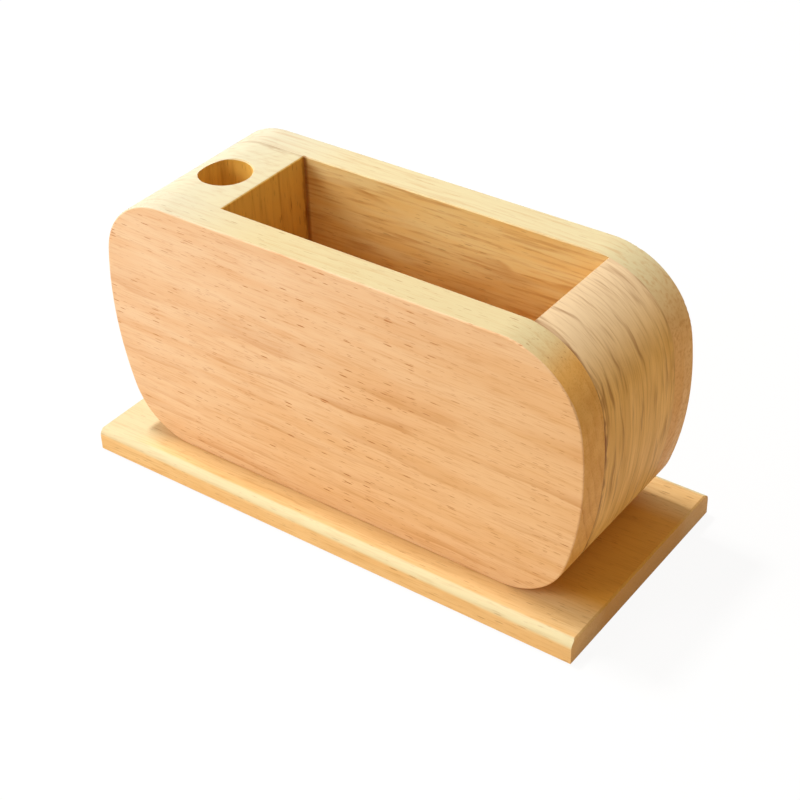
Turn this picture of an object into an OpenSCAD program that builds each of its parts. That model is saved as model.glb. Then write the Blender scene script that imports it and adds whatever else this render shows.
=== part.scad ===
// Wooden desk organizer: a rounded box of glued boards and blocks on a flat base plate.
// Millimetres, +Z up, origin at the middle of the underside of the base.
// X runs along the boards, -Y is the front and the pen hole is at the -X end.

/* [Body outline] */
// Length of the body where its sides bulge furthest
body_length = 172; // [150:1:220]
// Height of the body, without the base
body_height = 86; // [76:1:110]
// Radius of the upper left corner
left_shoulder_radius = 24; // [18:0.5:34]
// Radius of the upper right corner
right_shoulder_radius = 27.5; // [18:0.5:34]
// Radius of the lower corners
heel_radius = 22.5; // [16:0.5:32]
// Inward lean of the side where it runs into the upper corner, in degrees
shoulder_lean = 8; // [4:0.5:12]
// Inward lean of the side where it runs into the lower corner, in degrees
heel_lean = 17.5; // [10:0.5:20]
// Radius of the rounded edge round the outer face of each board
edge_ease = 0.5; // [0.2:0.1:2.5]

/* [Boards and blocks] */
// Thickness of the front and back boards
board_thickness = 11; // [8:0.5:14]
// Depth of the blocks and of the compartment between the boards
core_depth = 39; // [32:1:60]
// Width of the left block, from its furthest bulge to the compartment
left_block_width = 40; // [36:1:46]
// Width of the right block, from its furthest bulge to the compartment
right_block_width = 23.5; // [18:0.5:32]
// Thickness of the compartment's floor board
floor_thickness = 10; // [6:0.5:16]
// Bevel round the mouth of the compartment
mouth_bevel = 0.3; // [0.2:0.1:1.5]

/* [Pen hole] */
// Diameter of the pen hole
pen_hole_diameter = 17; // [10:0.5:20]
// Distance from the compartment's left wall to the middle of the pen hole
pen_hole_setback = 14; // [12:0.5:16]
// Distance of the pen hole in front of the block's middle
pen_hole_forward = 1.5; // [0:0.5:3]
// Wood left below the pen hole
pen_hole_floor = 13; // [8:1:30]
// Bevel round the mouth of the pen hole
pen_hole_bevel = 0.4; // [0.3:0.1:1.5]

/* [Base plate] */
// Thickness of the base plate
base_thickness = 8.5; // [6:0.5:14]
// How far the base reaches past the body at each end
base_end_margin = 4; // [0:0.5:20]
// How far the base reaches past the boards at front and back
base_side_margin = 10; // [4:0.5:25]
// Radius along the upper long edges of the base
base_round = 3; // [1:0.5:5]
// Bevel along the other edges of the base
base_bevel = 0.5; // [0.2:0.1:1]

/* [Dowels] */
// Diameter of the dowels
dowel_diameter = 6; // [4:0.5:8]
// How deep a dowel reaches into a block
dowel_in_block = 10; // [6:0.5:11]
// Wood left between a dowel's hole and the outer face of the board
dowel_cover = 3; // [2:0.5:5]
// Distance of the dowels from the furthest bulge of the body
dowel_inset = 12; // [9:0.5:15]
// Height of the lower dowels above the underside of the body
dowel_rise = 25; // [18:0.5:32]
// Depth of the upper dowels below the top of the body
dowel_drop = 23; // [16:0.5:28]
// Bevel at the ends of a dowel
dowel_bevel = 0.8; // [0.4:0.1:1.5]
// Gap round a dowel in its hole
dowel_clearance = 0.05; // [0.02:0.01:0.1]
// Room for glue at the end of a dowel
glue_room = 0.5; // [0.2:0.1:1]

/* [Base screws] */
// Outer diameter of a screw's thread
screw_diameter = 3.5; // [3:0.5:4.5]
// Diameter of a screw's head
screw_head_diameter = 7; // [6:0.5:9]
// Straight rim of a screw's head
screw_head_rim = 0.4; // [0.2:0.1:0.8]
// Length of a screw's point
screw_point = 3; // [2:0.5:4]
// Width of a screw's very tip
screw_tip_width = 0.5; // [0.3:0.1:1]
// Wood left above the screw's hole in the floor board
screw_cover = 1.5; // [1:0.5:3]
// How far the heads lie above the underside of the base
screw_recess = 0.6; // [0.3:0.1:1]
// Distance between the screws along the base
screw_spacing_length = 80; // [60:1:92]
// Distance between the screws across the base
screw_spacing_width = 24; // [16:1:28]
// Gap round a screw in its hole
screw_clearance = 0.05; // [0.02:0.01:0.1]
// Span of the cross slot in a screw's head
cross_span = 4; // [3:0.5:5]
// Width of the cross slot
cross_width = 0.8; // [0.6:0.1:1]
// Depth of the cross slot
cross_depth = 1.2; // [0.8:0.1:1.5]

/* [Hidden] */
$fn = 96;

// Cuts run past the wood by this much
past = 1;
// Outline points are placed in steps of this size and then by the rest
place_step = 0.001;

// The side arc that touches the corner arcs of a side, given the radius of that side's upper corner:
// its radius, its centre and the corners' centres
function side_radius(shoulder) =
    let (corner_rise = shoulder * (1 - sin(shoulder_lean)) + heel_radius * (1 - sin(heel_lean)))
        (body_height - corner_rise) / (sin(shoulder_lean) + sin(heel_lean));
function side_centre(shoulder) =
    let (radius = side_radius(shoulder))
        [body_length / 2 - radius, heel_radius + (radius - heel_radius) * sin(heel_lean)];
function shoulder_centre(shoulder) =
    let (run = (side_radius(shoulder) - shoulder) * cos(shoulder_lean))
        [side_centre(shoulder).x + run, body_height - shoulder];
function heel_centre(shoulder) =
    let (run = (side_radius(shoulder) - heel_radius) * cos(heel_lean))
        [side_centre(shoulder).x + run, heel_radius];

// Walls of the compartment
left_wall = left_block_width - body_length / 2;
right_wall = body_length / 2 - right_block_width;
compartment_length = right_wall - left_wall;
compartment_middle = (left_wall + right_wall) / 2;

body_depth = core_depth + 2 * board_thickness;
body_top = base_thickness + body_height;
base_length = body_length + 2 * base_end_margin;
base_width = body_depth + 2 * base_side_margin;
floor_top = base_thickness + floor_thickness;
pen_hole_x = left_wall - pen_hole_setback;

dowel_x = body_length / 2 - dowel_inset;
dowel_heights = [base_thickness + dowel_rise, body_top - dowel_drop];
dowel_hole_in_board = board_thickness - dowel_cover;
dowel_in_board = dowel_hole_in_board - glue_room;

screw_top = floor_top - screw_cover;
screw_cone = (screw_head_diameter - screw_diameter) / 2;

// Moves its children to a point of the outline, first to the nearest step and then by the small
// rest, so that neighbouring arcs still meet where places are rounded to a few figures
module at_point(point) {
    nearest = [for (value = point) round(value / place_step) * place_step];
    translate(nearest)
        translate(point - nearest)
            children();
}

// Section through the edge of a slab: a strip from its inside outwards, rounded at the outer face
module edge_section(reach, thickness, ease) {
    square([reach, thickness - ease]);
    if (ease > 0) {
        square([reach - ease, thickness]);
        translate([reach - ease, thickness - ease])
            circle(ease);
    }
}

// Whole disc behind a rounded corner: it touches its neighbours' outlines and runs inside them
module corner_disc(centre, radius, thickness, ease) {
    at_point(centre)
        rotate_extrude()
            edge_section(radius, thickness, ease);
}

// Part of a slab behind the bulging side, between the points where the corners take over
module side_slice(shoulder, thickness, ease) {
    reach = shoulder + heel_radius;
    at_point(side_centre(shoulder))
        rotate_extrude(angle = shoulder_lean + heel_lean, start = -heel_lean)
            at_point([side_radius(shoulder) - reach, 0])
                edge_section(reach, thickness, ease);
}

// Part of a slab behind a straight stretch of the outline, from the given point to past the middle;
// it reaches up from the point, or down where way is -1
module straight_slice(point, reach, way, thickness, ease) {
    at_point(point)
        mirror([1, 0, 0])
            rotate([90, 0, 90])
                linear_extrude(point.x + past)
                    scale([way, 1])
                        edge_section(reach, thickness, ease);
}

// Right half of a slab with the body's outline: three arcs and two straight edges
module half_slab(shoulder, thickness, ease) {
    upper = shoulder_centre(shoulder);
    lower = heel_centre(shoulder);
    corner_disc(upper, shoulder, thickness, ease);
    corner_disc(lower, heel_radius, thickness, ease);
    side_slice(shoulder, thickness, ease);
    straight_slice(upper, shoulder, 1, thickness, ease);
    straight_slice(lower, heel_radius, -1, thickness, ease);
    middle_reach = min(upper.x + shoulder / 2, lower.x + heel_radius / 2);
    translate([-past, lower.y, 0])
        cube([middle_reach + past, upper.y - lower.y, thickness]);
}

// Upright slab with the body's outline, from the given depth towards the front
module upright_slab(from_depth, thickness, ease) {
    translate([0, from_depth, base_thickness])
        rotate([90, 0, 0])
            union() {
                half_slab(right_shoulder_radius, thickness, ease);
                mirror([1, 0, 0])
                    half_slab(left_shoulder_radius, thickness, ease);
            }
}

// Space for a piece of the core, from one place along the body to another and up to a height
module core_space(from_x, to_x, height) {
    translate([from_x, -core_depth / 2 - past, 0])
        cube([to_x - from_x, core_depth + 2 * past, height]);
}

// How far the body's top edge has dropped at a place along the body
function top_drop(x) =
    let (
        shoulder = x < 0 ? left_shoulder_radius : right_shoulder_radius,
        into_corner = max(abs(x) - shoulder_centre(shoulder).x, 0)
    )
        shoulder - sqrt(pow(shoulder, 2) - pow(into_corner, 2));

// Wedge that opens upwards and bevels two edges the given width apart, at the heights of their tops
module mouth_wedge(width, first_top, second_top) {
    foot = width / 2 - mouth_bevel;
    rim = width / 2 + mouth_bevel + past;
    polygon([
        [-foot, first_top - 2 * mouth_bevel], [foot, second_top - 2 * mouth_bevel],
        [rim, second_top + past], [-rim, first_top + past]
    ]);
}

// Space above the compartment that bevels the blocks where they stand beside it
module block_mouth() {
    translate([compartment_middle, 0, body_top])
        rotate([90, 0, 0])
            linear_extrude(body_depth, center = true)
                mouth_wedge(compartment_length, -top_drop(left_wall), -top_drop(right_wall));
}

// Space above the compartment that bevels the boards between the blocks
module board_mouth() {
    intersection() {
        block_mouth();
        translate([compartment_middle, 0, body_top])
            rotate([90, 0, 90])
                linear_extrude(body_length, center = true)
                    mouth_wedge(core_depth, 0, 0);
    }
}

// Places of the front dowels at one end, -1 for the left and 1 for the right, pointing to the front
module at_dowels(side) {
    for (height = dowel_heights)
        translate([side * dowel_x, -core_depth / 2, height])
            rotate([90, 0, 0])
                children();
}

module dowel_hole() {
    hole_in_block = dowel_in_block + glue_room;
    translate([0, 0, -hole_in_block])
        cylinder(h = hole_in_block + dowel_hole_in_board, d = dowel_diameter + 2 * dowel_clearance);
}

module dowel() {
    length = dowel_in_block + dowel_in_board;
    tip = dowel_diameter - 2 * dowel_bevel;
    translate([0, 0, -dowel_in_block]) {
        cylinder(h = dowel_bevel, d1 = tip, d2 = dowel_diameter);
        translate([0, 0, dowel_bevel])
            cylinder(h = length - 2 * dowel_bevel, d = dowel_diameter);
        translate([0, 0, length - dowel_bevel])
            cylinder(h = dowel_bevel, d1 = dowel_diameter, d2 = tip);
    }
}

// Places of the screws on the underside of the base
module at_screws() {
    for (x = [-1, 1] * screw_spacing_length / 2)
        for (y = [-1, 1] * screw_spacing_width / 2)
            translate([compartment_middle + x, y, 0])
                children();
}

// Countersunk screw from its head upwards, made larger all round by a gap
module screw_shape(gap) {
    head = screw_head_diameter + 2 * gap;
    shank = screw_diameter + 2 * gap;
    shank_start = screw_recess + screw_head_rim + screw_cone;
    translate([0, 0, screw_recess])
        cylinder(h = screw_head_rim, d = head);
    translate([0, 0, screw_recess + screw_head_rim])
        cylinder(h = screw_cone, d1 = head, d2 = shank);
    translate([0, 0, shank_start])
        cylinder(h = screw_top - screw_point - shank_start, d = shank);
}

module screw_hole() {
    screw_shape(screw_clearance);
    translate([0, 0, -past])
        cylinder(h = screw_recess + past, d = screw_head_diameter + 2 * screw_clearance);
    translate([0, 0, screw_top - screw_point])
        cylinder(h = screw_point, d = screw_diameter + 2 * screw_clearance);
}

module screw() {
    difference() {
        union() {
            screw_shape(0);
            translate([0, 0, screw_top - screw_point])
                cylinder(h = screw_point, d1 = screw_diameter, d2 = screw_tip_width);
        }
        for (turn = [0, 90])
            translate([0, 0, screw_recess + (cross_depth - past) / 2])
                rotate(turn)
                    cube([cross_span, cross_width, cross_depth + past], center = true);
    }
}

// Section across the base: bevelled below and rounded above
module base_section() {
    half = base_width / 2;
    shoulder = base_thickness - base_round;
    polygon([
        [-half + base_bevel, 0], [half - base_bevel, 0], [half, base_bevel],
        [half, shoulder], [-half, shoulder], [-half, base_bevel]
    ]);
    translate([-half + base_round, 0])
        square([base_width - 2 * base_round, base_thickness]);
    for (side = [-1, 1])
        translate([side * (half - base_round), shoulder])
            circle(base_round);
}

// Section along the base, bevelled at its four corners
module base_end_section() {
    half = base_length / 2;
    top = base_thickness;
    polygon([
        [-half + base_bevel, 0], [half - base_bevel, 0], [half, base_bevel], [half, top - base_bevel],
        [half - base_bevel, top], [-half + base_bevel, top], [-half, top - base_bevel], [-half, base_bevel]
    ]);
}

module base_plate() {
    color("burlywood")
        difference() {
            intersection() {
                rotate([90, 0, 90])
                    linear_extrude(base_length, center = true)
                        base_section();
                rotate([90, 0, 0])
                    linear_extrude(base_width, center = true)
                        base_end_section();
            }
            at_screws()
                screw_hole();
        }
}

module floor_board() {
    color("tan")
        difference() {
            intersection() {
                upright_slab(core_depth / 2, core_depth, 0);
                core_space(left_wall, right_wall, floor_top);
            }
            at_screws()
                screw_hole();
        }
}

// Block at one end of the core, with its dowel holes at front and back
module end_block(from_x, to_x, side) {
    difference() {
        intersection() {
            upright_slab(core_depth / 2, core_depth, 0);
            core_space(from_x, to_x, body_top + past);
        }
        at_dowels(side)
            dowel_hole();
        mirror([0, 1, 0])
            at_dowels(side)
                dowel_hole();
        block_mouth();
    }
}

// Blind hole for a pen, bevelled where it meets the flat of the top
module pen_hole() {
    rim = pen_hole_diameter + 2 * (pen_hole_bevel + past);
    translate([0, 0, base_thickness + pen_hole_floor])
        cylinder(h = body_height, d = pen_hole_diameter);
    translate([0, 0, body_top - pen_hole_bevel])
        cylinder(h = pen_hole_bevel + past, d1 = pen_hole_diameter, d2 = rim);
}

module left_end_block() {
    color("wheat")
        difference() {
            end_block(-body_length, left_wall, -1);
            translate([pen_hole_x, -pen_hole_forward, 0])
                pen_hole();
        }
}

module right_end_block() {
    color("wheat")
        end_block(right_wall, body_length, 1);
}

// Board with the body's outline and a rounded edge, in its place at the front
module board() {
    difference() {
        upright_slab(-core_depth / 2, board_thickness, edge_ease);
        for (side = [-1, 1])
            at_dowels(side)
                dowel_hole();
        board_mouth();
    }
}

module front_board() {
    color("peachpuff")
        board();
}

module back_board() {
    color("peachpuff")
        mirror([0, 1, 0])
            board();
}

module front_dowels(side) {
    color("bisque")
        at_dowels(side)
            dowel();
}

module back_dowels(side) {
    mirror([0, 1, 0])
        front_dowels(side);
}

module base_screws() {
    color("silver")
        at_screws()
            screw();
}

base_plate();
floor_board();
left_end_block();
right_end_block();
front_board();
back_board();
front_dowels(-1);  // front_left_dowels
front_dowels(1);  // front_right_dowels
back_dowels(-1);  // back_left_dowels
back_dowels(1);  // back_right_dowels
base_screws();
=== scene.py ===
# %% [markdown]
# # A wooden desk organizer
# The organizer is a rounded box of beech on a flat base. Two boards form the front and the back, two blocks
# close the ends, and the left block has a hole for a pen. The frame already holds every piece at its real
# size, so this lesson leaves the shapes alone. It sets up the camera, a plain studio and, above all, wood
# that looks sawn from a log: the same rings, fibres and pores run through a piece from one face to the next.

# %% Load the frame
from math import cos, radians, sin

import bpy
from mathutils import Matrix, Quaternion, Vector

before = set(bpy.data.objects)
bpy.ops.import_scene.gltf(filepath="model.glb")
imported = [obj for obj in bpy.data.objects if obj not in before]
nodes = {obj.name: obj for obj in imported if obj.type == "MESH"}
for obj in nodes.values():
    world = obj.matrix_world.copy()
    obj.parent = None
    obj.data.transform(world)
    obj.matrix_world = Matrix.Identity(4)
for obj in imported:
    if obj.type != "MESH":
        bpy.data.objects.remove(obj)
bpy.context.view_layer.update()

# %% [markdown]
# ## Camera
# The picture was taken from the front right and from above, with a fairly long lens. By hand one would fly
# the view about until it fits. Here the camera is placed by its direction, its distance and the point that
# it aims at, because each of these can be corrected alone. It also leans a little to one side, as a camera
# held by hand does, so a small roll is added last.

# %% Camera
view_azimuth = radians(36.825)
view_elevation = radians(35.661)
view_roll = radians(-1.797)
view_distance = 0.5441
view_target = Vector((0.00366, -0.00109, 0.03378))
view_lens_mm = 79.52

towards_camera = Vector((
    sin(view_azimuth) * cos(view_elevation),
    -cos(view_azimuth) * cos(view_elevation),
    sin(view_elevation),
))
bpy.ops.object.select_all(action="DESELECT")
bpy.ops.object.camera_add(location=view_target + view_distance * towards_camera)
camera = bpy.context.object
camera.name = "camera"
camera.data.lens = view_lens_mm
camera.rotation_mode = "QUATERNION"
aim = (-towards_camera).to_track_quat("-Z", "Y")
camera.rotation_quaternion = aim @ Quaternion((0, 0, 1), view_roll)
bpy.context.scene.camera = camera
print("camera at", [round(value, 3) for value in camera.location])

# %% [markdown]
# ## Nodes by hand and by script
# A material is a small network of nodes. By hand one adds a node, types its numbers and drags its wires. The
# first helper does these three things in one call: a number or colour is typed in, a socket is wired in.
# The others are the few kinds of node that this lesson needs again and again.

# %% Nodes and arithmetic
def add(tree, kind, inputs=None, **settings):
    """Adds a node, sets its options, and fills or wires its inputs."""
    made = tree.nodes.new(kind)
    for option, value in settings.items():
        setattr(made, option, value)
    for key, value in (inputs or {}).items():
        if isinstance(value, bpy.types.NodeSocket):
            tree.links.new(value, made.inputs[key])
        else:
            made.inputs[key].default_value = value
    return made


def maths(tree, operation, *values, clamp=False):
    """One step of arithmetic on numbers or sockets."""
    step = add(tree, "ShaderNodeMath", dict(enumerate(values)), operation=operation, use_clamp=clamp)
    return step.outputs[0]


def product(tree, first, *others):
    """Multiplies a socket by numbers or further sockets."""
    for other in others:
        first = maths(tree, "MULTIPLY", first, other)
    return first


def opposite(tree, share):
    """1 where the share is 0, and 0 where it is 1."""
    return maths(tree, "SUBTRACT", 1.0, share)


def eased(tree, value, start, end, low=0.0, high=1.0):
    """Eases a value from low to high as it goes from start to end."""
    sockets = {"Value": value, "From Min": start, "From Max": end, "To Min": low, "To Max": high}
    return add(tree, "ShaderNodeMapRange", sockets, interpolation_type="SMOOTHSTEP").outputs["Result"]


print("node helpers:", [helper.__name__ for helper in (add, maths, product, opposite, eased)])

# %% [markdown]
# ## Colours
# Colours are easy to judge as a screen shows them, from 0 to 255, but light adds up in linear values, and a
# shader works with those. One helper turns the first into the second, by the standard curve of screens, and
# another blends two colours.

# %% Colours
colour_mix_inputs = (0, 6, 7)  # share, first and second colour; other sockets take numbers and vectors
colour_mix_output = 2


def screen_colour(red, green, blue):
    """A colour as a screen shows it, 0 to 255, in the linear values that a shader works with."""
    shares = [value / 255 for value in (red, green, blue)]
    linear = [share / 12.92 if share <= 0.04045 else ((share + 0.055) / 1.055) ** 2.4 for share in shares]
    return (*linear, 1.0)


def blend(tree, share, first, second):
    """Blends two colours; share 0 shows the first and share 1 the second."""
    sockets = dict(zip(colour_mix_inputs, (share, first, second)))
    return add(tree, "ShaderNodeMix", sockets, data_type="RGBA").outputs[colour_mix_output]


print("a screen value of 128 is", round(screen_colour(128, 128, 128)[0], 3), "in linear light")

# %% [markdown]
# ## Floor
# The organizer stands on a pale floor that runs out into white. A curved backdrop would do, but a wide plane
# is simpler. It counts as white where the camera looks at it directly or in a reflection, and lights the
# wood only gently. A share of it stays an ordinary matt surface, so that the organizer throws its shadow.

# %% Floor
floor_size = 8.0
floor_drop = 0.0001
floor_matt_share = 0.08
white = (1.0, 1.0, 1.0, 1.0)
floor_seen_tone = screen_colour(252, 252, 252)
floor_bounce_tone = screen_colour(232, 214, 186)


def new_tree(owner):
    """An empty node tree for a material or a world."""
    owner.use_nodes = True
    owner.node_tree.nodes.clear()
    return owner.node_tree


def seen_directly(tree):
    """1 for what the camera sees, straight or by reflection or through glass, and 0 for light on surfaces."""
    path = add(tree, "ShaderNodeLightPath")
    seen = maths(tree, "ADD", path.outputs["Is Camera Ray"], path.outputs["Is Glossy Ray"])
    return maths(tree, "ADD", seen, path.outputs["Is Transmission Ray"], clamp=True)


bpy.ops.object.select_all(action="DESELECT")
bpy.ops.mesh.primitive_plane_add(size=floor_size, location=(0, 0, -floor_drop))
floor = bpy.context.object
floor.name = "floor"

floor_paint = bpy.data.materials.new("floor_paint")
tree = new_tree(floor_paint)
seen = seen_directly(tree)
floor_tone = blend(tree, seen, floor_bounce_tone, floor_seen_tone)
matt = add(tree, "ShaderNodeBsdfDiffuse", {"Color": floor_tone})
glow = add(tree, "ShaderNodeEmission", {"Color": white, "Strength": 1.0})
glow_share = product(tree, seen, 1.0 - floor_matt_share)
floor_mix = add(tree, "ShaderNodeMixShader", {0: glow_share, 1: matt.outputs[0], 2: glow.outputs[0]})
add(tree, "ShaderNodeOutputMaterial", {"Surface": floor_mix.outputs[0]})
floor.data.materials.append(floor_paint)
print("floor", floor_size, "m wide")

# %% [markdown]
# ## Sky
# The room is white to the eye, but its light is dim and warm, as light is that walls and ceiling have thrown
# back. One background cannot be both, so there are two, and the kind of ray decides which one it meets.

# %% Sky
sky_light = 0.45
sky_tone = screen_colour(255, 241, 212)

world = bpy.data.worlds.new("white_room")
bpy.context.scene.world = world
tree = new_tree(world)
ambient = add(tree, "ShaderNodeBackground", {"Color": sky_tone, "Strength": sky_light})
backdrop = add(tree, "ShaderNodeBackground", {"Color": white, "Strength": 1.0})
sky_sockets = {0: seen_directly(tree), 1: ambient.outputs[0], 2: backdrop.outputs[0]}
sky_mix = add(tree, "ShaderNodeMixShader", sky_sockets)
add(tree, "ShaderNodeOutputWorld", {"Surface": sky_mix.outputs[0]})
bpy.context.scene.view_settings.view_transform = "Standard"
print("sky light", sky_light)

# %% [markdown]
# ## Lamps
# The light comes from the left. A small lamp high up makes the tops the brightest part and puts the base
# right of the body in a shadow with a fairly clear edge. A broad lamp at the front left lights the front
# board, and a low one at the left brightens the rounded left end. Area lamps are used and not a sun,
# because their width decides how soft the shadows are.

# %% Lamps
body_middle = (0.0, 0.0, 0.05)


def soft_lamp(name, place, width, watts):
    """A square area lamp at a place, turned towards the middle of the body."""
    bpy.ops.object.light_add(type="AREA", location=place)
    lamp = bpy.context.object
    lamp.name = name
    lamp.data.size = width
    lamp.data.energy = watts
    direction = Vector(body_middle) - Vector(place)
    lamp.rotation_mode = "QUATERNION"
    lamp.rotation_quaternion = direction.to_track_quat("-Z", "Y")
    return lamp


key_lamp = soft_lamp("key_lamp", place=(-0.41, 0.03, 1.18), width=0.12, watts=9.8)
front_lamp = soft_lamp("front_lamp", place=(-0.80, -1.02, 0.71), width=0.60, watts=8.1)
side_lamp = soft_lamp("side_lamp", place=(-1.16, -0.10, 0.36), width=0.50, watts=4.2)
print("lamps:", [lamp.name for lamp in (key_lamp, front_lamp, side_lamp)])

# %% [markdown]
# ## Wood from a log
# Every piece was sawn from a log, so its pattern is worked out in the log's own coordinates: X along the
# fibres, with the middle of the log at Y = Z = 0, in millimetres. A Mapping node of the Texture type undoes
# the log's place and turn. A picture of wood could be wrapped round each piece instead, but this pattern
# fills space: a ring that shows on a face carries on round the edge, without any unwrapping.

# %% Log coordinates
millimetre = 0.001


def vector_maths(tree, operation, *values):
    """One step of arithmetic on vectors."""
    return add(tree, "ShaderNodeVectorMath", dict(enumerate(values)), operation=operation).outputs["Vector"]


def log_coordinates(tree, log_place, log_turn):
    """Millimetres in the log: log_place is a point of its middle line, log_turn its direction in degrees."""
    sockets = {
        "Vector": add(tree, "ShaderNodeTexCoord").outputs["Object"],
        "Location": [value * millimetre for value in log_place],
        "Rotation": [radians(angle) for angle in log_turn],
        "Scale": (millimetre, millimetre, millimetre),
    }
    return add(tree, "ShaderNodeMapping", sockets, vector_type="TEXTURE").outputs[0]


def stretched(tree, log, size):
    """Coordinates whose unit is so many millimetres along the fibres and in the two directions across."""
    return vector_maths(tree, "MULTIPLY", log, [1 / length for length in size])


def cloud(tree, log, patch, detail=2.0, output="Fac"):
    """Soft random variation with patches of that size."""
    sockets = {"Vector": stretched(tree, log, patch), "Scale": 1.0, "Detail": detail}
    return add(tree, "ShaderNodeTexNoise", sockets).outputs[output]


print("a log is measured in units of", millimetre, "m")

# %% [markdown]
# ## Growth rings
# A tree adds a ring each year: it darkens slowly and ends in a thin dark line. A Wave texture can draw rings,
# but all alike. So the distance from the log's middle gives the number of the ring, and its fraction the
# place within it. The distance is disturbed a little, so that rings wander, and each has its own strength.

# %% Growth rings
ring_wander_patch = (60, 18, 18)
ring_fading_patch = (35, 12, 12)
ring_fading_span = (0.38, 0.62)
ring_sharpness = 4.0
ring_line_start = 0.93
weakest_ring = 0.4
faintest_stretch = 0.15


def wandering(tree, log, patch, reach):
    """Log coordinates pushed about across the fibres, so that straight lines waver as in real wood."""
    push = vector_maths(tree, "SUBTRACT", cloud(tree, log, patch, output="Color"), (0.5, 0.5, 0.5))
    return vector_maths(tree, "MULTIPLY_ADD", push, (0.0, reach, reach), log)


def growth_rings(tree, log, gap, wander):
    """0 in pale early wood, rising to 1 at the dark line where a ring ends."""
    moved = wandering(tree, log, ring_wander_patch, wander)
    across = vector_maths(tree, "MULTIPLY", moved, (0.0, 1.0, 1.0))
    radius = add(tree, "ShaderNodeVectorMath", {0: across}, operation="LENGTH").outputs["Value"]
    rings = maths(tree, "DIVIDE", radius, gap)
    year, within = maths(tree, "FLOOR", rings), maths(tree, "FRACT", rings)
    shade = maths(tree, "POWER", within, ring_sharpness)
    line_end = eased(tree, within, ring_line_start, 1.0, 1.0, 0.0)
    chance = add(tree, "ShaderNodeTexWhiteNoise", {"W": year}, noise_dimensions="1D").outputs["Value"]
    strength = eased(tree, chance, 0.0, 1.0, weakest_ring, 1.0)
    stretch = cloud(tree, log, ring_fading_patch, detail=1.0)
    fading = eased(tree, stretch, *ring_fading_span, faintest_stretch, 1.0)
    return product(tree, shade, line_end, strength, fading)


print("rings wander over patches of", ring_wander_patch, "mm")

# %% [markdown]
# ## Pores
# Beech shows short dark dashes along the fibres, a few millimetres long. They could be painted, but there are
# thousands of them. A Voronoi texture in stretched coordinates drops one point into each long cell. Close to
# such a point there is a dash, whose size depends on the cell's random number, and where that number is small
# the cell stays empty.

# %% Pores
dash_reach = 0.24
dash_edge = 3.5
full_dash_share = 0.3
faintest_dash = 0.3


def pores(tree, log, cell, share):
    """1 inside a dash and 0 outside; cell is the room for a dash, share how many cells have one."""
    cells = add(tree, "ShaderNodeTexVoronoi", {"Vector": stretched(tree, log, cell), "Scale": 1.0})
    chance = add(tree, "ShaderNodeSeparateColor", {0: cells.outputs["Color"]})
    reach = eased(tree, chance.outputs[0], 1.0 - share, 1.0 - full_dash_share * share, 0.0, dash_reach)
    depth = maths(tree, "SUBTRACT", reach, cells.outputs["Distance"])
    inside = maths(tree, "MULTIPLY", depth, dash_edge / dash_reach, clamp=True)
    return product(tree, inside, eased(tree, chance.outputs[1], 0.0, 1.0, faintest_dash, 1.0))


print("a dash fills up to", dash_reach, "of its cell to each side")

# %% [markdown]
# ## Faces, edges and ends
# The wide faces of the boards are flat-sawn and look pinker than their edges, and the ends of the fibres are
# darker than their sides. Such places could be marked by hand, as painted weights or separate slots. Here
# they follow from the place and the normal of the surface, which needs no painting and always fits.

# %% Faces, edges and ends
board_middle = 0.025
face_span = (0.1, 0.45)  # sideways part of the normal, from edge to face
end_span = (0.4, 0.95)  # part of the normal along the fibres, from side to end
# Slope and run of the painted shade on the outer faces of the boards:
front_slant = -1.5
front_run = (-0.18, 0.0)


def along(tree, axis, output="Object"):
    """One coordinate of the place, or of the normal, of the surface."""
    vector = add(tree, "ShaderNodeTexCoord").outputs[output]
    return add(tree, "ShaderNodeSeparateXYZ", {0: vector}).outputs[axis]


def unsigned(tree, axis, output="Object"):
    """The same without its sign, for what is alike at both ends or on both sides."""
    return maths(tree, "ABSOLUTE", along(tree, axis, output))


def board_face(tree):
    """1 on the wide faces of the boards and 0 on their edges."""
    return eased(tree, unsigned(tree, "Y", "Normal"), *face_span)


def outside(tree):
    """1 on the outer half of a board and 0 on the half towards the compartment."""
    return eased(tree, unsigned(tree, "Y"), board_middle - millimetre, board_middle + millimetre)


def end_grain(tree, axis):
    """1 where the ends of the fibres show and 0 where the fibres run along the surface."""
    return eased(tree, unsigned(tree, axis, "Normal"), *end_span)


def rightwards_and_down(tree):
    """Painted shade: 0 at the upper left of the front, rising to 1 at its right and at the foot."""
    fall = maths(tree, "MULTIPLY_ADD", along(tree, "Z"), front_slant, along(tree, "X"))
    return eased(tree, fall, *front_run)


print("a board's two halves meet", board_middle, "m from the middle")

# %% [markdown]
# ## Painted highlight on the tops
# Every surface that faces up gets a painted highlight: a paler tone that stands in for the strong light and
# sheen on the tops. On the rounded shoulders the pale tone runs out, and how soon it does differs from piece
# to piece. The upright part of the normal tells how far up a surface faces, so a piece's own function only
# says where its painted highlight ends.

# %% Painted highlight on the tops
compartment_left = -0.046
mouth_fade = 0.0004
left_shoulder_run = (-0.03, -0.06)
short_fade, slow_fade, long_fade = 0.68, 0.2, 0.0  # upright part of the normal where the painted highlight ends


def facing_up(tree, start):
    """Painted highlight: 1 on surfaces facing straight up, fading out as the normal's upright part nears the
    start.
    """
    return eased(tree, along(tree, "Z", "Normal"), start, 1.0)


def flat_top(tree):
    """1 on flat tops, ending soon on the right shoulder but slowly on the left one."""
    left_shoulder = eased(tree, along(tree, "X"), *left_shoulder_run)
    left = product(tree, facing_up(tree, long_fade), left_shoulder)
    return maths(tree, "MAXIMUM", facing_up(tree, short_fade), left)


def round_top(tree):
    """1 on flat tops, running out slowly down a shoulder."""
    return facing_up(tree, slow_fade)


def left_top(tree):
    """As round_top, but not on the bevel of the compartment's mouth."""
    left_of_mouth = eased(tree, along(tree, "X"), compartment_left, compartment_left - mouth_fade)
    return product(tree, round_top(tree), left_of_mouth)


print("tops:", [where.__name__ for where in (flat_top, round_top, left_top)])
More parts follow.
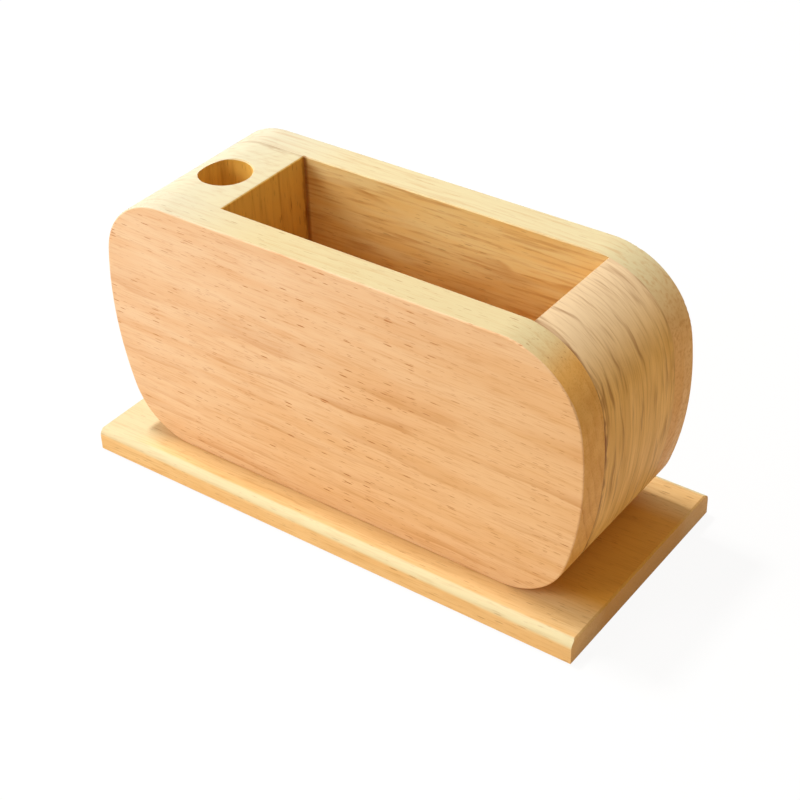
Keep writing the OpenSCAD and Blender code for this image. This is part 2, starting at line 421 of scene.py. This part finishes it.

# %% [markdown]
# ## Painted highlight and shadow on the base
# The rounded long edges of the base and its left end get a paler tone, a painted highlight for the light that
# they catch. Under the overhanging right end of the body a deeper tone is painted shadow. Either could be
# painted on as weights, but as they keep to edges and ends, place and normal find them as before.

# %% Painted highlight and shadow on the base
rounded_span = (0.05, 0.35)  # sideways part of the normal on the rounded edge
upward_span = (0.05, 0.45)  # upright part of the normal
left_wear_run = (-0.062, -0.080)
right_shelter_run = (0.045, 0.065)
shelter_depth = (0.029, 0.020)


def worn_base(tree):
    """Painted highlight: 1 on the rounded long edges of the base and on top of its left end."""
    long_edge = eased(tree, unsigned(tree, "Y", "Normal"), *rounded_span)
    left_end = eased(tree, along(tree, "X"), *left_wear_run)
    upwards = eased(tree, along(tree, "Z", "Normal"), *upward_span)
    return product(tree, maths(tree, "MAXIMUM", long_edge, left_end), upwards)


def sheltered(tree):
    """Painted shadow: 1 on the base under the overhanging right end of the body, where little light falls."""
    right_end = eased(tree, along(tree, "X"), *right_shelter_run)
    return product(tree, right_end, eased(tree, unsigned(tree, "Y"), *shelter_depth))


print("base:", [where.__name__ for where in (worn_base, sheltered)])

# %% [markdown]
# ## Painted shade inside the compartment and the pen hole
# The inner walls get painted shade: deeper tones, more so further down, on the boards and on the left block's
# wall, and a deeper tone in the pen hole. Glue and dust have gathered in the corner beside the left block,
# and painted shade lies beside them. Weaker lamps would dull every surface alike, so these walls get deeper
# tones of their own.

# %% Inside the compartment and the pen hole
hole_side_run = (-0.071, -0.0695)  # just left of the pen hole
wall_side_run = (-0.0475, -0.0465)  # just left of the compartment
board_run = (0.080, 0.055)  # heights between which painted shade deepens a board's inner face
board_deepest = 0.75
wall_run = (0.092, 0.050)  # heights between which painted shade darkens the left block's wall
wall_shares = (0.1, 0.5)
corner_edge, corner_line, corner_shade = 0.0004, 0.0022, 0.010  # distances from the left block
corner_shade_share = 0.25


def low_inside(tree):
    """Painted shade: 0 on the upper compartment side of a board, rising further down."""
    deepening = eased(tree, along(tree, "Z"), *board_run, 0.0, board_deepest)
    return product(tree, opposite(tree, outside(tree)), deepening)


def left_corner(tree):
    """1 in the board's inner corner by the left block, for glue and dust, with faint painted shade beside it.
    """
    inner_face = product(tree, board_face(tree), opposite(tree, outside(tree)))
    distance = maths(tree, "SUBTRACT", along(tree, "X"), compartment_left)
    line = eased(tree, distance, corner_line, corner_edge)
    shade = eased(tree, distance, corner_shade, corner_edge, 0.0, corner_shade_share)
    return product(tree, inner_face, maths(tree, "MAXIMUM", line, shade))


def compartment_wall(tree):
    """Painted shade: a share that rises down the wall that the left block turns towards the compartment."""
    wall = eased(tree, along(tree, "X"), *wall_side_run)
    return product(tree, wall, eased(tree, along(tree, "Z"), *wall_run, *wall_shares))


def inner_side(tree):
    """Painted shade, as a deeper tone: 1 on the pen hole and the compartment side of the left block, 0 on its
    outer end.
    """
    return eased(tree, along(tree, "X"), *hole_side_run)


print("inside:", [where.__name__ for where in (low_inside, left_corner, compartment_wall, inner_side)])

# %% [markdown]
# ## Glue lines
# A thin, ragged line shows where a block meets a board. A groove in the shape would be too regular, so the
# line is a stain on the block: its width and its strength vary as two clouds do.

# %% Glue lines
block_half_depth = 0.0195
glue_width = (0.0007, 0.0030)
glue_width_patch = (5, 1.5, 5)
glue_width_span = (0.35, 0.65)
glue_strength_patch = (14, 40, 14)
glue_strength_span = (0.4, 0.6)
weakest_glue = 0.5


def glue_line(tree, log, front, back):
    """A ragged line next to the front and the back board, with a strength for each."""
    depth = along(tree, "Y")
    width = eased(tree, cloud(tree, log, glue_width_patch), *glue_width_span, *glue_width)
    front_gap = maths(tree, "ADD", depth, block_half_depth)
    back_gap = maths(tree, "SUBTRACT", block_half_depth, depth)
    front_line = eased(tree, front_gap, width, 0.0, 0.0, front)
    back_line = eased(tree, back_gap, width, 0.0, 0.0, back)
    strength_cloud = cloud(tree, log, glue_strength_patch, detail=1.0)
    strength = eased(tree, strength_cloud, *glue_strength_span, weakest_glue, 1.0)
    return product(tree, maths(tree, "MAXIMUM", front_line, back_line), strength)


print("glue lines are", glue_width, "m wide")

# %% [markdown]
# ## Bare colour of the wood
# Under all lines lies a colour of broad pale and warm streaks. A board has different tones on its edges, on
# its inner face and, running from one pair to another, on its outer face, where the turn towards the lower
# right is painted shade. Where shade is painted in a deeper tone and where a highlight is painted in a paler
# one, another tone covers the streaks, and under a painted highlight the later lines are fainter too.

# %% Bare colour of the wood
streak_patch = (40, 5, 5)
streak_span = (0.3, 0.7)
bleach_run = (-0.07, -0.02)


def streaks(tree, log, tones, look):
    """The tones of each place, and the colour of the streaks there."""
    tone = dict(tones)
    if look["outer"]:
        # On the outer face the tones turn towards the lower right as painted shade.
        face, out, run = board_face(tree), outside(tree), rightwards_and_down(tree)
        upper_left, lower_right = look["outer"]
        for part in ("pale", "warm", "ring", "pore"):
            shown = blend(tree, run, upper_left[part], lower_right[part])
            tone[part] = blend(tree, face, tones[part], blend(tree, out, look["inner"][part], shown))
    streak = eased(tree, cloud(tree, log, streak_patch), *streak_span)
    colour = blend(tree, streak, tone["pale"], tone["warm"])
    # Painted shade: a deeper tone where shade falls.
    if look["deep_where"]:
        colour = blend(tree, look["deep_where"](tree), colour, tones["deep"])
    return tone, colour


def bleaching(tree, colour, tones, look):
    """The colour with its painted highlight, and how clearly lines show on it."""
    if not look["pale_where"]:
        return colour, 1.0
    bleached = product(tree, look["pale_where"](tree), tones["bleach"])
    top = blend(tree, eased(tree, along(tree, "X"), *bleach_run), tones["top_left"], tones["top"])
    clear = maths(tree, "MULTIPLY_ADD", bleached, -look["top_clear"], 1.0)
    return blend(tree, bleached, colour, top), clear


print("streaks are about", streak_patch[0], "mm long")

# %% [markdown]
# ## Fibre lines
# Over the bare colour come the ends of the fibres, the rings, the fine fibres and, on a coarser block, veins.
# They could be drawn as one texture. Here each is a layer, a darker tone that is laid on by shares, so that
# one can be changed without a change to the others.

# %% Fibre lines
fibre_span = (0.45, 0.75)
vein_size = (24, 2.0, 20)
vein_span = (0.56, 0.74)
vein_wander_patch = (16, 9, 16)
vein_wander = 4.0


def darken(tree, colour, tone, *shares):
    """Lays a darker tone over a colour, as strongly as the product of the shares."""
    return blend(tree, product(tree, *shares), colour, tone)


def fibre_lines(tree, log, colour, tone, clear, ends, look):
    """The colour with end grain, rings, fibres and veins, and the pattern of the fibres."""
    if look["end_share"] > 0:
        colour = darken(tree, colour, tone["ring"], ends, look["end_share"])
    ring_gap, ring_wander, ring_share = look["rings"]
    ring = growth_rings(tree, log, ring_gap, ring_wander)
    colour = darken(tree, colour, tone["ring"], ring, ring_share, clear)
    fibre = cloud(tree, log, look["fibre_size"], detail=3.0)
    fibre_shade = eased(tree, fibre, *fibre_span, 0.0, look["fibre_share"])
    colour = darken(tree, colour, tone["ring"], fibre_shade, clear)
    if look["vein_share"] > 0:
        vein = cloud(tree, wandering(tree, log, vein_wander_patch, vein_wander), vein_size, detail=1.8)
        vein_shade = eased(tree, vein, *vein_span, 0.0, look["vein_share"])
        colour = darken(tree, colour, tone["pore"], vein_shade, clear)
    return colour, fibre


print("veins are about", vein_size[0], "mm long")

# %% [markdown]
# ## Pores, glue, dirt and painted shade
# Next come the pores, with smaller flecks between them, and last glue lines, dirty corners and painted shade.
# One even field of pores would look printed, so they are dense in some patches and thin in others. They show
# only where the fibres run along the surface, because at the ends of the fibres a pore is a hole too fine to
# see.

# %% Pores, glue, dirt and painted shade
pore_cell = (7.4, 0.88, 0.88)
pore_patch = (40, 14, 14)
pore_patch_span = (0.35, 0.55)
thinnest_pores = 0.5
pore_filling, fleck_filling = 0.9, 0.8  # shares of the cells that hold a dash
fleck_size, fleck_strength = 0.6, 0.6  # against those of a pore
dirt_share = 0.75


def pore_dashes(tree, log, colour, tone, clear, ends, look):
    """The colour with pores and flecks, and the pattern of the pores."""
    patch_cloud = cloud(tree, log, pore_patch, detail=1.0)
    patch = eased(tree, patch_cloud, *pore_patch_span, thinnest_pores, 1.0)
    pore = pores(tree, log, pore_cell, pore_filling)
    fleck = pores(tree, log, [fleck_size * length for length in pore_cell], fleck_filling)
    lengthwise = opposite(tree, ends)
    colour = darken(tree, colour, tone["pore"], pore, patch, look["pore_share"], clear, lengthwise)
    fleck_share = fleck_strength * look["pore_share"]
    colour = darken(tree, colour, tone["pore"], fleck, fleck_share, clear, lengthwise)
    return colour, pore


def glue_and_dirt(tree, log, colour, tone, clear, look):
    """The colour with glue lines, dirty corners and painted shade."""
    if max(look["seam"]) > 0:
        colour = darken(tree, colour, tone["pore"], glue_line(tree, log, *look["seam"]), clear)
    if look["dark_where"]:
        colour = darken(tree, colour, tone["pore"], look["dark_where"](tree), dirt_share)
    return colour


print("pores are about", round(2 * dash_reach * pore_cell[0], 1), "mm long")

# %% [markdown]
# ## Oil
# The organizer has a thin coat of oil: satin, not shiny, and uneven as the fibres are. Fibres and pores could
# be cut into the shape, but they are only some thousandths of a millimetre deep, so bump nodes do instead.

# %% Oil
oil_gloss = 0.12
oil_roughness = (0.43, 0.56)
roughness_span = (0.2, 0.8)
pore_depth = 0.000005
fibre_depth = 0.000008


def oiled(tree, colour, fibre, pore):
    """A satin surface of that colour, dented by fibres and pores."""
    dents = add(tree, "ShaderNodeBump", {"Height": opposite(tree, pore), "Distance": pore_depth})
    sockets = {"Height": fibre, "Distance": fibre_depth, "Normal": dents.outputs[0]}
    grain = add(tree, "ShaderNodeBump", sockets)
    shader = add(tree, "ShaderNodeBsdfPrincipled", {
        "Base Color": colour,
        "Roughness": eased(tree, fibre, *roughness_span, *oil_roughness),
        "Specular IOR Level": oil_gloss,
        "Normal": grain.outputs[0],
    })
    add(tree, "ShaderNodeOutputMaterial", {"Surface": shader.outputs[0]})


print("pores are", pore_depth, "m deep")

# %% [markdown]
# ## One recipe for all the wood
# Every piece could have a material built from nothing, but most of it would be the same again. So one recipe
# makes them all: it starts from plain beech, and a piece names only what is different about it.

# %% Beech recipe
plain_beech = {
    "outer": None,  # tones of the outer face, at its upper left and at its lower right, turning as painted shade
    "inner": None,  # tones of the face towards the compartment
    "pale_where": None,  # where a highlight is painted in a paler tone
    "top_clear": 0.5,  # how far the painted highlight hides the lines
    "deep_where": None,  # where shade is painted in a deeper tone
    "dark_where": None,  # where dirt and painted shade darken it
    "rings": (3.0, 5.0, 0.4),  # gap and wander in millimetres, strength
    "fibre_size": (9, 0.5, 0.5),
    "fibre_share": 0.3,
    "vein_share": 0.0,
    "pore_share": 0.7,
    "seam": (0.0, 0.0),  # strength of the glue lines at the front and at the back
    "fibres": "X",  # the way that the fibres run
    "end_share": 0.2,  # how much darker the ends of the fibres are
}


def beech(name, log_place, log_turn, tones, **special):
    """Oiled beech, sawn from a log that lies at log_place in millimetres, turned by log_turn degrees."""
    look = dict(plain_beech, **special)
    material = bpy.data.materials.new(name)
    tree = new_tree(material)
    log = log_coordinates(tree, log_place, log_turn)
    ends = end_grain(tree, look["fibres"])
    tone, colour = streaks(tree, log, tones, look)
    colour, clear = bleaching(tree, colour, tones, look)
    colour, fibre = fibre_lines(tree, log, colour, tone, clear, ends, look)
    colour, pore = pore_dashes(tree, log, colour, tone, clear, ends, look)
    colour = glue_and_dirt(tree, log, colour, tone, clear, look)
    oiled(tree, colour, fibre, pore)
    return material


print("plain beech has rings every", plain_beech["rings"][0], "mm")

# %% [markdown]
# ## Tones
# One set of tones for all the wood would be simpler, but no two boards are alike. So each piece has its own:
# two for its streaks, one for its rings and one for its pores, where needed a deeper one for painted shade,
# and two for the painted highlight on the top, at its left and at its right. Dark tones are strongly
# coloured, because a dull brown laid over pale wood soon looks grey.

# %% Tones
# Paler tones of the painted highlight on the tops, at the left and at the right, and on the right block.
bleached_left, bleached_right = (211, 209, 187), (213, 201, 160)
bleached_olive = (240, 214, 178)


def wood_tones(bleach=0.0, **tones):
    """Screen colours made ready for the shader, with the strength of the painted highlight."""
    ready = {part: screen_colour(*tone) for part, tone in tones.items()}
    return dict(ready, bleach=bleach)


rosy = wood_tones(pale=(248, 218, 187), warm=(242, 202, 164), ring=(208, 138, 74), pore=(186, 106, 40))
tawny = wood_tones(pale=(242, 202, 157), warm=(236, 191, 141), ring=(194, 126, 58), pore=(174, 96, 30))
straw = wood_tones(pale=(254, 228, 164), warm=(250, 212, 138), ring=(192, 120, 36), pore=(152, 84, 14))
golden = wood_tones(
    pale=(238, 186, 108), warm=(228, 172, 92), ring=(182, 114, 34), pore=(142, 76, 12),
    top_left=bleached_left, top=bleached_right, bleach=0.9)
honey = wood_tones(
    pale=(240, 197, 136), warm=(232, 185, 120), ring=(190, 124, 54), pore=(150, 80, 20),
    deep=(228, 172, 92), top_left=bleached_left, top=(217, 207, 168), bleach=0.9)
cream = wood_tones(
    pale=(224, 186, 134), warm=(214, 172, 116), ring=(178, 116, 44), pore=(142, 80, 20),
    deep=(242, 194, 94), top_left=bleached_left, top=bleached_right, bleach=0.9)
olive = wood_tones(
    pale=(236, 188, 112), warm=(222, 172, 94), ring=(154, 96, 24), pore=(136, 76, 12),
    top_left=bleached_olive, top=bleached_olive, bleach=0.9)
amber = wood_tones(
    pale=(242, 206, 150), warm=(236, 195, 135), ring=(188, 132, 52), pore=(144, 80, 14),
    deep=(222, 164, 72), top_left=(220, 211, 176), top=(224, 219, 182), bleach=0.8)
print("wood tones:", len((rosy, tawny, straw, golden, honey, cream, olive, amber)))

# %% [markdown]
# ## Front and back board
# The boards are flat-sawn. A log through the middle of a board would give it narrow curves, so the log lies
# along X, well to the inner side, and the faces show long wandering rings. Their outer faces are rosy at the
# upper left and turn tawny towards the lower right as painted shade; the front's edges are golden and the
# back's are honey-coloured. A painted highlight pales their tops, and painted shade deepens the back's inner
# face low down and beside the left block, where glue and dust darken the corner too.

# %% Front and back board
def dress(piece, material):
    """Gives a CAD node its finish."""
    nodes[piece].data.materials.clear()
    nodes[piece].data.materials.append(material)


front_beech = beech(
    "beech_front", (0, 55, 78), (0, 1.0, 0.5), golden, outer=(rosy, tawny), inner=straw,
    pale_where=flat_top, rings=(3.5, 5.0, 0.75), pore_share=0.9)
back_beech = beech(
    "beech_back", (0, -70, 70), (0, -1.0, -0.5), honey, outer=(rosy, tawny), inner=straw,
    pale_where=round_top, deep_where=low_inside, dark_where=left_corner, rings=(3.5, 6.0, 0.7),
    fibre_size=(18, 1.1, 1.1), fibre_share=0.5, pore_share=0.4)
dress("front_board", front_beech)
dress("back_board", back_beech)
print("boards:", front_beech.name, back_beech.name)

# %% [markdown]
# ## End blocks
# The fibres of the blocks stand upright. A second material could draw them, but the same recipe does it with
# the log turned upright. The left block is pale, with a deeper tone painted as shade in the pen hole and on
# the compartment side, where painted shade also darkens its wall further down. The right one is coarse: dark
# veins run over its shoulder, and its glue line with the front board is strong. Both tops get a painted
# highlight.

# %% End blocks
left_beech = beech(
    "beech_left", (-120, 60, 0), (0, -90, 0), cream, pale_where=left_top, top_clear=0.6,
    deep_where=inner_side, dark_where=compartment_wall, fibre_size=(24, 1.8, 8), fibre_share=0.5,
    seam=(0.2, 1.0), fibres="Z", end_share=0.0)
right_beech = beech(
    "beech_right", (111, 145, 0), (0, -90, 0), olive, pale_where=round_top, top_clear=0.2,
    rings=(2.4, 6.0, 0.3), fibre_size=(18, 0.8, 12), fibre_share=0.35, vein_share=0.55,
    pore_share=0.15, seam=(1.0, 0.4), fibres="Z", end_share=0.0)
dress("left_end_block", left_beech)
dress("right_end_block", right_beech)
print("blocks:", left_beech.name, right_beech.name)

# %% [markdown]
# ## Base, floor and dowels
# The base is an amber board with a painted highlight along its rounded long edges and on its left end, and
# painted shadow under the overhanging right end of the body. The compartment's floor and the dowels inside
# the joints hardly show, so plain beech does for them.

# %% Base, floor and dowels
base_beech = beech(
    "beech_base", (0, 25, -70), (0, -0.8, 1.5), amber, pale_where=worn_base, deep_where=sheltered,
    pore_share=0.5, end_share=0.5)
floor_beech = beech("beech_floor", (0, 10, -60), (0, 0.5, 1.0), golden)
dowel_beech = beech("beech_dowel", (0, 0, 20), (0, 0, 90), golden)
dress("base_plate", base_beech)
dress("floor_board", floor_beech)
for piece in ("front_left_dowels", "front_right_dowels", "back_left_dowels", "back_right_dowels"):
    dress(piece, dowel_beech)
print("wooden pieces:", [name for name in nodes if name != "base_screws"])

# %% [markdown]
# ## Screws
# Four countersunk screws hold the base from below. They are zinc-plated steel: a pale metal, slightly
# clouded. One even grey would look cast in plastic, so a fine noise varies both its tone and its roughness.

# %% Screws
haze_scale = 900.0
haze_span = (0.3, 0.7)
bright_zinc, dull_zinc = screen_colour(196, 200, 202), screen_colour(164, 168, 172)
zinc_roughness = (0.25, 0.42)

zinc = bpy.data.materials.new("zinc_steel")
tree = new_tree(zinc)
place = add(tree, "ShaderNodeTexCoord").outputs["Object"]
haze = add(tree, "ShaderNodeTexNoise", {"Vector": place, "Scale": haze_scale, "Detail": 3.0}).outputs["Fac"]
shader = add(tree, "ShaderNodeBsdfPrincipled", {
    "Base Color": blend(tree, haze, bright_zinc, dull_zinc),
    "Metallic": 1.0,
    "Roughness": eased(tree, haze, *haze_span, *zinc_roughness),
})
add(tree, "ShaderNodeOutputMaterial", {"Surface": shader.outputs[0]})
dress("base_screws", zinc)
print("screws:", zinc.name)
